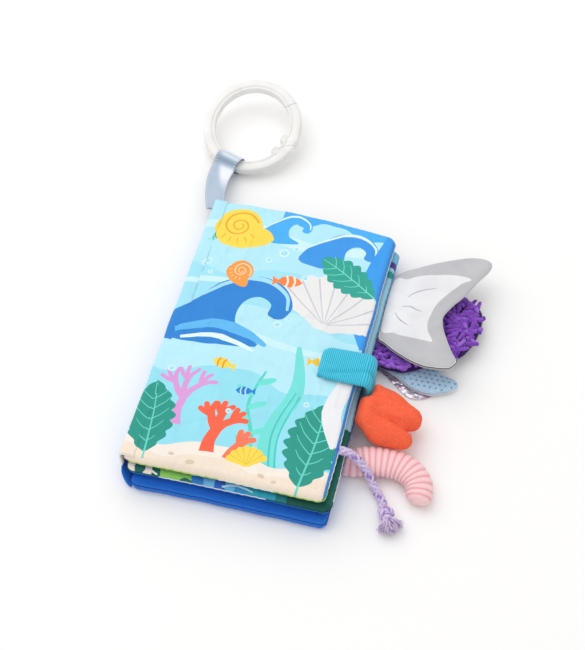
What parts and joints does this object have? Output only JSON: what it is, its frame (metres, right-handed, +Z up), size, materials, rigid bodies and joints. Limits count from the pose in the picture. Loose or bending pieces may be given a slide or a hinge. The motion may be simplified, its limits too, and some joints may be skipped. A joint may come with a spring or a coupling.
{
  "type": "crinkle cloth book",
  "caption": "Soft cloth book with padded crinkle leaves, a closing strap, fabric tails sewn into the fore edge, a braided cord and a clip ring on a ribbon loop.",
  "frame": {"origin": "centre of the back cover's flat underside, on the surface that the closed book lies on", "axes": "+X from the spine to the fore edge, +Y from the tail edge to the head edge with the ribbon and ring, +Z up through the closed leaves"},
  "size_m": [0.2182, 0.3328, 0.0286],
  "materials": {
    "cover_cloth": "fine printed twill",
    "page_cloth": "fine printed twill",
    "blue_cloth": "fine printed twill",
    "crinkle_film": "thin crackling film",
    "wadding": "loose fibre wadding",
    "strap_plush": "finely ribbed plush",
    "elastic": "woven elastic",
    "hook_and_loop": "hook and loop tape",
    "satin_ribbon": "satin",
    "ring_plastic": "smooth moulded, semi gloss",
    "grey_print_cloth": "smooth printed cloth, grey border on white",
    "chenille": "deep chenille pile",
    "dotted_plush": "short plush with raised dots",
    "satin_lining": "satin",
    "foil_cloth": "metallised crinkled sheet",
    "claw_plush": "short velvety plush",
    "corduroy": "wide-wale corduroy",
    "cord_braid": "soft flecked braid"
  },
  "bodies": {
    "back_cover": {"back_cover_inner_cloth": "blue_cloth", "back_cover_crinkle_film": "crinkle_film", "back_cover_wadding": "wadding", "back_cover_outer_cloth": "blue_cloth", "spine_panel_lower": "blue_cloth", "strap_loop_pad": "hook_and_loop", "dotted_tail_upper_panel": "dotted_plush", "dotted_tail_wadding": "wadding", "dotted_tail_satin_lining": "satin_lining", "foil_tail_sheet": "foil_cloth", "foil_tail_backing": "satin_lining", "ribbed_tail_shell": "corduroy", "ribbed_tail_stuffing": "wadding"},
    "middle_leaf": {"middle_leaf_upper_cloth": "page_cloth", "middle_leaf_crinkle_film": "crinkle_film", "middle_leaf_wadding": "wadding", "middle_leaf_lower_cloth": "page_cloth", "spine_panel_upper": "cover_cloth", "chenille_tail_pile": "chenille", "chenille_tail_backing": "chenille"},
    "front_cover": {"front_cover_outer_cloth": "cover_cloth", "front_cover_crinkle_film": "crinkle_film", "front_cover_wadding": "wadding", "front_cover_inner_cloth": "blue_cloth", "strap_sewn_tab": "strap_plush", "braided_cord": "cord_braid", "cord_knot": "cord_braid", "cord_frayed_end": "cord_braid"},
    "strap": {"strap_outer_ply": "strap_plush", "strap_elastic_band": "elastic", "strap_inner_ply": "strap_plush", "strap_hook_pad": "hook_and_loop"},
    "ribbon": {"ribbon_loop": "satin_ribbon"},
    "ring": {"ring_body": "ring_plastic"},
    "gate": {"ring_gate": "ring_plastic"},
    "fluke_tail": {"fluke_tail_upper_panel": "grey_print_cloth", "fluke_tail_wadding": "wadding", "fluke_tail_lower_panel": "grey_print_cloth"},
    "claw": {"claw_upper_shell": "claw_plush", "claw_stuffing": "wadding", "claw_lower_shell": "claw_plush"}
  },
  "joints": [
    {"name": "middle_leaf_turn", "type": "hinge", "parent": "back_cover", "child": "middle_leaf", "pos_m": [-0.065, 0, 0.0145], "axis": [0, 1, 0], "range_deg": [-180, 0], "deforming": ["spine_panel_lower"]},
    {"name": "front_cover_turn", "type": "hinge", "parent": "middle_leaf", "child": "front_cover", "pos_m": [-0.065, 0, 0.0145], "axis": [0, -1, 0], "range_deg": [0, 180], "deforming": ["spine_panel_upper"]},
    {"name": "strap_open", "type": "hinge", "parent": "front_cover", "child": "strap", "pos_m": [0.033, -0.00375, 0.02775], "axis": [0, 1, 0], "range_deg": [-180, 0]},
    {"name": "ribbon_lift", "type": "hinge", "parent": "back_cover", "child": "ribbon", "pos_m": [-0.0665, 0.1113, 0.0132], "axis": [1, 0, 0], "range_deg": [0, 90]},
    {"name": "ring_swing", "type": "hinge", "parent": "ribbon", "child": "ring", "pos_m": [-0.07088, 0.16067, 0.00655], "axis": [0.9397, -0.342, 0], "range_deg": [0, 120]},
    {"name": "ring_snap", "type": "hinge", "parent": "ring", "child": "gate", "pos_m": [-0.04368, 0.21207, 0.01479], "axis": [0, 0.1564, -0.9877], "range_deg": [0, 12], "stiffness_Nm_per_rad": 0.2},
    {"name": "fluke_tail_flop", "type": "hinge", "parent": "middle_leaf", "child": "fluke_tail", "pos_m": [0.06, 0.057, 0.0136], "axis": [0, -1, 0], "range_deg": [0, 60]},
    {"name": "claw_flop", "type": "hinge", "parent": "middle_leaf", "child": "claw", "pos_m": [0.05968, -0.02475, 0.0123], "axis": [0, -1, 0], "range_deg": [0, 20]}
  ]
}
